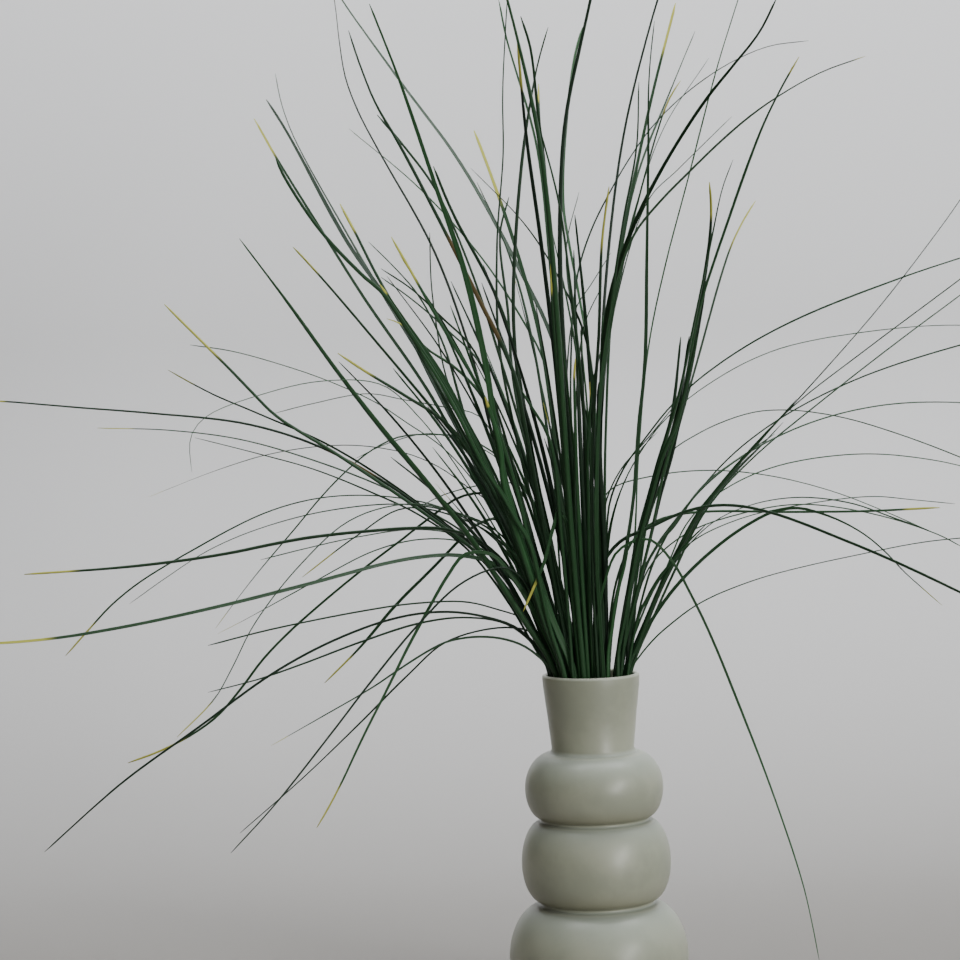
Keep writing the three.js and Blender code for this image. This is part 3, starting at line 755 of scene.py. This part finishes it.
HIGH_LEFT = [
    (-19, -12.5, (3.0, 2.4, 1.8, 1.4), 30, 0.45, 0, [
        (-30, 268), (-55, 352), (-82, 413), (-100, 447), (-120, 480), (-138, 508), (-150, 519),
        (-180, 553), (-203, 590), (-209, 604)]),
    (-20, 2.5, (2.4, 2.0, 1.8, 1.8), 30, 0.35, 24, [
        (-32, 275), (-56, 340), (-84, 405), (-112, 465), (-141, 520), (-155, 550), (-165, 570)]),
    (-12, -4.5, (1.8, 1.5, 1.0, 1.1), 40, 0.40, 0, [
        (-18, 280), (-34, 370), (-54, 450), (-76, 524), (-98, 578), (-120, 610), (-137, 631)]),
    (-14, 13.5, (1.2, 1.0, 0.8, 0.4), 30, 0.60, 0, [
        (-19, 300), (-21, 370), (-22, 420), (-26, 455), (-40, 485), (-67, 529), (-108, 578),
        (-157, 622)]),
    (-16, -1.5, (2.0, 1.6, 0.8, 0.6), 50, 0.30, 0, [
        (-28, 280), (-52, 345), (-78, 400), (-95, 449), (-101, 490), (-103, 514), (-103, 548)]),
    (-20, 5.5, (2.0, 1.6, 0.8, 0.45), 30, 0.35, 0, [
        (-31, 275), (-54, 338), (-80, 410), (-96, 470), (-112, 504), (-127, 523), (-146, 543)]),
    (-18, -8.5, (1.8, 1.4, 0.9, 0.6), -40, 0.30, 0, [
        (-27, 275), (-42, 345), (-58, 415), (-75, 465), (-96, 488), (-117, 509), (-138, 524)]),
    (-20, 9.5, (1.8, 1.4, 0.9, 0.6), 30, 0.30, 0, [
        (-29, 280), (-42, 340), (-56, 400), (-71, 456), (-92, 479), (-117, 502), (-138, 518)]),
    (-18, -2.5, (2.0, 1.6, 1.4, 1.0), 30, 0.60, 20, [
        (-27, 285), (-42, 350), (-56, 400), (-71, 434), (-89, 454), (-106, 466), (-125, 485),
        (-135, 489)]),
    (-19, -13.5, (3.0, 2.6, 2.0, 1.2), 20, 0.60, 0, [
        (-28, 270), (-40, 329), (-49, 346), (-58, 364), (-67, 378), (-76, 396), (-85, 416),
        (-98, 442), (-112, 466)]),
    (-19, -12.5, (3.4, 4.0, 3.4, 2.4), 30, 0.85, 8, [
        (-28, 270), (-44, 322), (-57, 374), (-58, 392), (-61, 408), (-68, 432)]),
]

MIDDLE = [
    (-10, 10.5, (1.8, 1.4, 1.1, 0.5), 30, 0.30, 0, [
        (-12, 300), (-22, 380), (-32, 460), (-42, 510), (-53, 545), (-69, 582)]),
    (-15, -3.5, (2.2, 1.4, 0.7, 0.5), 30, 0.40, 0, [
        (-22, 290), (-38, 360), (-50, 420), (-57, 470), (-56, 541), (-50, 601), (-49, 644),
        (-44, 708)]),
    (-14, 7.5, (2.0, 1.6, 1.3, 0.9), 30, 0.30, 0, [
        (-20, 300), (-34, 370), (-46, 430), (-49, 458), (-50, 490), (-54, 545), (-47, 571)]),
    (-9, -7.5, (2.4, 2.0, 1.6, 1.1), -40, 0.35, 0, [
        (-11, 300), (-14, 400), (-18, 500), (-22, 595), (-25, 626), (-29, 674), (-35, 696)]),
    (-6, 12.5, (1.8, 1.6, 1.4, 1.4), 30, 0.30, 18, [
        (-8, 300), (-12, 400), (-18, 520), (-24, 627), (-24, 649)]),
    (0, -9.5, (2.2, 1.6, 1.2, 0.8), 50, 0.40, 0, [
        (0, 290), (2, 360), (0, 440), (-6, 510), (-12, 565), (-23, 615)]),
    (1, 9.5, (2.0, 1.6, 0.8, 0.4), 30, 0.30, 0, [
        (2, 300), (2, 380), (-2, 460), (-8, 533), (2, 573)]),
    (4, -13.5, (2.2, 2.0, 1.5, 1.2), 30, 0.25, 50, [
        (4, 290), (5, 360), (9, 430), (13, 473), (17, 537), (23, 576)]),
    (-9, -10.5, (2.4, 2.0, 1.8, 1.6), 30, 0.40, 24, [
        (-11, 300), (-14, 380), (-17, 450), (-19, 500), (-19, 525)]),
    (-3, -12.5, (3.0, 2.6, 2.2, 1.8), 40, 0.60, 15, [
        (-4, 300), (-5, 370), (-5, 420), (-5, 443), (-4, 457)]),
    (1, -11.5, (2.4, 1.8, 1.2, 0.8), 30, 0.60, 0, [
        (1, 300), (2, 350), (3, 397), (8, 440), (14, 462)]),
    (-9, 3.5, (1.8, 1.4, 0.6, 0.4), 30, 0.30, 0, [
        (-10, 300), (-12, 380), (-10, 450), (-3, 491), (9, 509), (23, 530)]),
    (-6, -8.5, (2.0, 1.4, 0.8, 0.4), 30, 0.40, 0, [
        (-7, 300), (-7, 380), (-1, 459), (4, 483), (16, 507)]),
    (-13, -13.5, (2.4, 2.0, 1.6, 1.2), 30, 0.45, 0, [
        (-15, 290), (-18, 340), (-21, 387), (-26, 407), (-35, 423), (-43, 437)]),
]

HIGH_RIGHT = [
    (6, -12.5, (1.8, 1.6, 1.0, 0.6), 30, 0.40, 0, [
        (7, 280), (8, 340), (11, 410), (20, 480), (32, 550), (43, 602), (46, 648)]),
    (7, -3.5, (1.8, 1.4, 1.0, 1.0), 30, 0.50, 26, [
        (8, 280), (9, 350), (12, 415), (24, 490), (46, 575), (66, 634), (75, 648)]),
    (4, 7.5, (1.8, 1.2, 0.5, 0.35), -40, 0.40, 0, [
        (5, 290), (7, 360), (12, 430), (24, 500), (44, 570), (63, 617), (95, 663)]),
    (5, 1.5, (1.8, 1.0, 0.4, 0.35), 30, 0.35, 0, [
        (6, 275), (8, 350), (13, 430), (28, 505), (51, 567), (71, 586), (110, 622)]),
    (20, -11.5, (2.0, 1.8, 1.0, 0.4), 30, 0.40, 0, [
        (27, 275), (37, 330), (52, 380), (68, 430), (80, 480), (94, 539), (102, 572), (110, 592)]),
    (18, -13.5, (2.6, 2.4, 2.0, 1.4), 20, 0.45, 0, [
        (20, 250), (25, 273), (30, 298), (36, 325), (47, 361), (54, 384), (66, 412), (82, 470)]),
    (18.5, -8.5, (1.6, 2.2, 2.0, 1.2), 20, 0.30, 0, [
        (21, 250), (27, 277), (31, 298), (37, 325), (47, 356), (56, 384), (67, 420), (76, 470)]),
    (17, 2.5, (1.6, 2.0, 2.0, 1.2), -20, 0.20, 0, [
        (19, 250), (24, 277), (29, 300), (35, 328), (45, 361), (52, 384), (62, 415), (70, 470)]),
    (11, -11.5, (3.2, 2.8, 2.6, 2.2), 10, 0.05, 0, [
        (11, 255), (12, 273), (12, 295), (12, 330), (11, 370), (11, 410), (12, 440)]),
    (8, -5.5, (0.8, 0.7, 0.5, 0.4), 30, 0.45, 0, [
        (9, 290), (15, 331), (18, 344), (23, 359), (29, 372), (35, 383), (40, 392), (52, 404)]),
    (7, -6.5, (0.8, 0.7, 0.5, 0.4), 30, 0.45, 0, [
        (9, 300), (14, 354), (17, 363), (22, 373), (29, 383), (37, 391), (47, 402), (66, 424)]),
    (24, -6.5, (1.6, 1.4, 1.2, 0.8), 20, 0.10, 0, [
        (29, 270), (39, 309), (46, 334), (53, 360), (61, 385), (68, 412), (78, 452), (88, 500)]),
    (11, -13.5, (2.6, 2.2, 1.6, 1.0), 20, 0.85, 0, [
        (13, 251), (16, 267), (18, 280), (21, 294), (25, 307), (29, 322)]),
]

LOW_RIGHT = [
    (24, -9.5, (2.4, 2.2, 1.6, 0.4), 20, 0.40, 0, [
        (34, 256), (42, 276), (51, 296), (60, 313), (68, 328), (79, 346), (94, 364), (108, 380),
        (120, 392), (137, 410), (150, 424)]),
    (26, 5.5, (1.8, 1.6, 1.2, 0.4), -20, 0.20, 0, [
        (35, 256), (43, 275), (52, 295), (61, 312), (70, 328), (81, 346), (96, 364), (110, 379),
        (124, 392), (140, 408)]),
    (25, -10.5, (1.6, 1.4, 1.0, 0.6), 20, 0.55, 0, [
        (31, 261), (36, 278), (41, 287), (45, 294), (51, 303), (58, 311), (70, 325), (84, 338)]),
    (25, 8.5, (1.4, 1.3, 1.0, 0.5), 20, 0.40, 0, [
        (31, 268), (36, 299), (50, 325), (62, 338), (74, 355), (86, 368), (100, 378), (134, 400)]),
    (26, 10.0, (0.8, 0.6, 0.5, 0.45), 20, 0.60, 0, [
        (31, 275), (44, 310), (70, 332), (110, 345), (150, 350), (200, 342), (246, 326),
        (264, 316)]),
    (26.8, -1.0, (1.0, 0.35, 0.5, 0.5), 20, 0.35, 0, [
        (36, 260), (50, 293), (68, 320), (90, 340), (117, 351), (149, 355), (185, 350),
        (217, 338), (240, 329)]),
    (24.5, 7.0, (1.1, 0.4, 0.35, 0.3), -20, 0.45, 0, [
        (34, 268), (50, 300), (72, 325), (107, 341), (153, 350), (201, 354), (228, 351),
        (259, 347)]),
    (2, 12.0, (0.8, 0.5, 0.4, 0.5), -40, 0.45, 0, [
        (2, 290), (6, 340), (17, 364), (46, 373), (86, 376), (129, 371), (172, 359), (206, 345),
        (246, 326)]),
]
BUNCHES = {
    "low_left_leaves": LOW_LEFT,
    "high_left_leaves": HIGH_LEFT,
    "middle_leaves": MIDDLE,
    "high_right_leaves": HIGH_RIGHT,
    "low_right_leaves": LOW_RIGHT,
}
print("thin leaves:", {name: len(rows) for name, rows in BUNCHES.items()})

# %% [markdown]
# ## From a seen point to a place
#
# A leaf's points are read from the front, so each is moved along the viewer's line of sight to
# its row's depth. Rows fan out with the distance from the mouth.

# %% Place a thin leaf
ROW_SPACING = 1.7 * MM
ROW_FREE, ROW_SPREAD, ROW_CURVE = 30 * MM, 90 * MM, 180 * MM
FOOT_SHARE = 0.8
LEAF_FOOT = FLOOR + 0.3 * MM
TWIST_START, TWIST_FULL = 50 * MM, 170 * MM


def seen_point(x, z, row):
    distance = max(0.0, math.hypot(x, z - RIM_TOP) - ROW_FREE)
    depth = row * ROW_SPACING * (1 + distance / ROW_SPREAD + (distance / ROW_CURVE) ** 2)
    share = (depth - EYE.y) / -EYE.y
    return Vector((EYE.x + (x - EYE.x) * share, depth, EYE.z + (z - EYE.z) * share))


def make_thin_leaf(mouth, row, seen_widths, twist, tone, tip, seen, phase):
    mouth_depth = row * ROW_SPACING
    low = [
        Vector((mouth * MM * FOOT_SHARE, mouth_depth * FOOT_SHARE, height))
        for height in (LEAF_FOOT, NECK_HEIGHT / 2, NECK_HEIGHT + NECK_REACH)
    ]
    top = Vector((mouth * MM, mouth_depth, RIM_TOP))
    line, length = along([*low, top, *(seen_point(x * MM, z * MM, row) for x, z in seen)], RINGS)
    sides = []
    for ring in range(RINGS):
        forward = (line[min(ring + 1, RINGS - 1)] - line[max(ring - 1, 0)]).normalized()
        side = forward.cross(Vector((0, 1, 0))).normalized()
        away = (line[ring] - Vector((0, 0, RIM_TOP))).length
        turned = smooth(away, TWIST_START, TWIST_FULL) if line[ring].z > RIM_TOP else 0.0
        sides.append(Matrix.Rotation(math.radians(twist) * turned, 3, forward) @ side)
    widths = widths_along(line, seen_widths[0] * 1.2, seen_widths, tip)
    return shape_leaf(line, length, sides, widths, tone, tip * MM, None, phase)


def make_bunch(name, rows):
    """Many thin leaves as one piece."""
    bunch = bmesh.new()
    for number, row in enumerate(rows):
        leaf = make_thin_leaf(*row, 2.3 * number)
        mesh = bpy.data.meshes.new("leaf")
        leaf.to_mesh(mesh)
        leaf.free()
        bunch.from_mesh(mesh)
        bpy.data.meshes.remove(mesh)
    return finished(name, bunch, GRASS)


for name, rows in BUNCHES.items():
    print(name, "faces:", len(make_bunch(name, rows).data.polygons))

# %% [markdown]
# ## The straight leaves in the middle
#
# Where the bunch leaves the mouth it is a dense sheaf. Its shorter, straighter leaves can't be
# told apart, so they are made by a rule: even places over the mouth, a lean that follows the
# place and grows with height, and lengths that vary. The random numbers have a fixed seed.

# %% Sheaf
SHEAF_LEAVES = 38
SHEAF_SEED = 7
SHEAF_LEFT, SHEAF_RIGHT = -28, 9
SHEAF_STEPS = 5
LAST_ROW, ROWS_END = 13.5, 34
SHEAF_REACH = (150, 330)
# The lean at the mouth and at the tip, in radians for each mm to the right, then at random.
START_LEAN, START_RANGE = 0.010, (-0.09, 0.04)
END_LEAN, END_MOST, END_RANGE = 0.024, 0.04, (-0.30, 0.06)
SHEAF_WIDTH, SHEAF_TAPER = (1.6, 3.4), (0.75, 0.5, 0.25)
SHEAF_TWIST = 60
SHEAF_TONES = (0.1, 0.2, 0.35, 0.5, 0.7)
TIP_CHANCE, TIP_LENGTH = 0.15, 16


def sheaf_row(chance, number):
    part = (number + chance.random()) / SHEAF_LEAVES
    mouth = SHEAF_LEFT + (SHEAF_RIGHT - SHEAF_LEFT) * part
    row = chance.uniform(-LAST_ROW, LAST_ROW) * (1 - (mouth / ROWS_END) ** 2) ** 0.5
    reach = chance.uniform(*SHEAF_REACH)
    start = START_LEAN * mouth + chance.uniform(*START_RANGE)
    end = min(END_MOST, END_LEAN * mouth) + chance.uniform(*END_RANGE)
    x, z = mouth, RIM_HEIGHT
    seen = []
    for step in range(SHEAF_STEPS):
        angle = start + (end - start) * (step + 0.5) / SHEAF_STEPS
        x += reach / SHEAF_STEPS * math.sin(angle)
        z += reach / SHEAF_STEPS * math.cos(angle)
        seen.append((x, z))
    low = chance.uniform(*SHEAF_WIDTH)
    widths = (low, *(share * low for share in SHEAF_TAPER))
    tone = chance.choice(SHEAF_TONES)
    tip = TIP_LENGTH if chance.random() < TIP_CHANCE else 0
    return (mouth, row, widths, chance.uniform(-SHEAF_TWIST, SHEAF_TWIST), tone, tip, seen)


chance = random.Random(SHEAF_SEED)
sheaf = make_bunch("sheaf_leaves", [sheaf_row(chance, n) for n in range(SHEAF_LEAVES)])
print("sheaf faces:", len(sheaf.data.polygons))

# %% [markdown]
# ## Floor, wall and light
#
# The vase stands on a plain pale surface before a pale wall. One sheet does both: it runs back
# under the vase, bends up in a wide curve and goes on as the wall, so that no edge shows. Its
# colour fades from the darker floor colour into the wall colour with height, a painted shade
# that darkens the bend and the lower wall. The wall is just wide enough for the photograph, so
# the vase can be looked at from behind too. A slanted window light from the right and front
# gives the oblique soft highlight on each round, and a big soft light overhead with a pale world
# fills the rest.

# %% Backdrop
PALE_WALL = colour(0.76, 0.765, 0.775)
# The floor's own colour, which also paints the shade low on the wall and in the bend.
FLOOR_AND_WALL_SHADE = colour(0.25, 0.24, 0.225)
WALL_Y = 0.95
BEND = 0.5
FLOOR_HALF, WALL_HALF = 4.0, 0.72
FLOOR_FRONT, WALL_TOP = -4.5, 3.5
FLOOR_LEVEL = 0.5 * MM
# Where the wall colour takes over from the floor colour: the reach of the painted shade low on the
# wall.
RISE_BACK, RISE_START, RISE_END = 0.9, 0.1, 1.75


def backdrop():
    paint = Finish("pale_paint", Roughness=0.95, IOR=1.3)
    place = paint.add("ShaderNodeTexCoord", {}, {}, output="Object")
    height = paint.add("ShaderNodeSeparateXYZ", {}, {0: place}, output="Z")
    back = paint.add("ShaderNodeSeparateXYZ", {}, {0: place}, output="Y")
    cloud = paint.noise(place, 0.8, detail=2.0)
    grain = paint.noise(place, 420.0)
    # Painted shade: the colour fades towards the darker floor colour low on the wall and in the
    # bend.
    rise = paint.ramp(height + RISE_BACK * back + 0.1 * cloud, RISE_START, RISE_END)
    paint.show(
        Base_Color=paint.mix(rise, FLOOR_AND_WALL_SHADE, PALE_WALL),
        Normal=paint.bump(grain, 0.05, 0.2 * MM),
    )
    bm = bmesh.new()
    corner = (WALL_Y - BEND, BEND)
    outline = [(FLOOR_FRONT, 0.0)]
    outline += arc(corner, (BEND, BEND), -90, 0, 24)
    outline += [(WALL_Y, WALL_TOP)]
    halves = [WALL_HALF if z > FLOOR_LEVEL else FLOOR_HALF for y, z in outline]
    points = [bm.verts.new((-half, y, z)) for half, (y, z) in zip(halves, outline)]
    edges = [bm.edges.new(pair) for pair in zip(points, points[1:])]
    made = bmesh.ops.extrude_edge_only(bm, edges=edges)
    moved = [g for g in made["geom"] if isinstance(g, bmesh.types.BMVert)]
    for corner_point in moved:
        corner_point.co.x = -corner_point.co.x
    bmesh.ops.recalc_face_normals(bm, faces=bm.faces)
    mesh = bpy.data.meshes.new("backdrop")
    bm.to_mesh(mesh)
    bm.free()
    mesh.shade_smooth()
    mesh.materials.append(paint.material)
    sheet = bpy.data.objects.new("backdrop", mesh)
    bpy.context.scene.collection.objects.link(sheet)
    return sheet


print("backdrop faces:", len(backdrop().data.polygons))

# %% Lights
ROOM_DIM = colour(0.10, 0.08, 0.06)
ROOM_BRIGHT = colour(0.62, 0.63, 0.65)
ROOM_EDGE = 0.8
ROOM_STRENGTH = 0.8


def area_light(name, place, target, size, watts, tint, roll=0):
    data = bpy.data.lights.new(name, "AREA")
    data.shape = "RECTANGLE"
    data.size, data.size_y = size
    data.energy = watts
    data.color = tint
    light = bpy.data.objects.new(name, data)
    aim = (Vector(target) - Vector(place)).to_track_quat("-Z", "Y").to_matrix().to_4x4()
    turn = Matrix.Rotation(math.radians(roll), 4, "Z")
    light.matrix_world = Matrix.Translation(place) @ aim @ turn
    bpy.context.scene.collection.objects.link(light)
    return light


area_light("window", (1.75, -2.2, 0.75), (0, 0, 0.25), (1.5, 0.4), 46, (1.0, 0.99, 0.97), 50)
area_light("overhead", (0.5, -0.5, 2.6), (0.1, 0.1, 0.3), (2.2, 1.8), 11, (0.96, 0.98, 1.0))
area_light("wall_wash", (0.3, 0.1, 2.5), (0.1, 0.95, 1.0), (2.6, 0.6), 80, (0.97, 0.98, 1.0))


def pale_room():
    """A soft room: pale and bright on the window's side, dim and warm on the other."""
    world = bpy.data.worlds.new("pale_room")
    world.use_nodes = True
    nodes, links = world.node_tree.nodes, world.node_tree.links
    place = nodes.new("ShaderNodeTexCoord")
    axes = nodes.new("ShaderNodeSeparateXYZ")
    room = nodes.new("ShaderNodeValToRGB")
    room.color_ramp.elements[0].color = ROOM_DIM
    room.color_ramp.elements[1].color = ROOM_BRIGHT
    across = nodes.new("ShaderNodeMapRange")
    across.inputs["From Min"].default_value = -ROOM_EDGE
    across.inputs["From Max"].default_value = ROOM_EDGE
    links.new(place.outputs["Generated"], axes.inputs[0])
    links.new(axes.outputs["X"], across.inputs["Value"])
    links.new(across.outputs["Result"], room.inputs["Fac"])
    links.new(room.outputs["Color"], nodes["Background"].inputs["Color"])
    nodes["Background"].inputs["Strength"].default_value = ROOM_STRENGTH
    bpy.context.scene.world = world


pale_room()
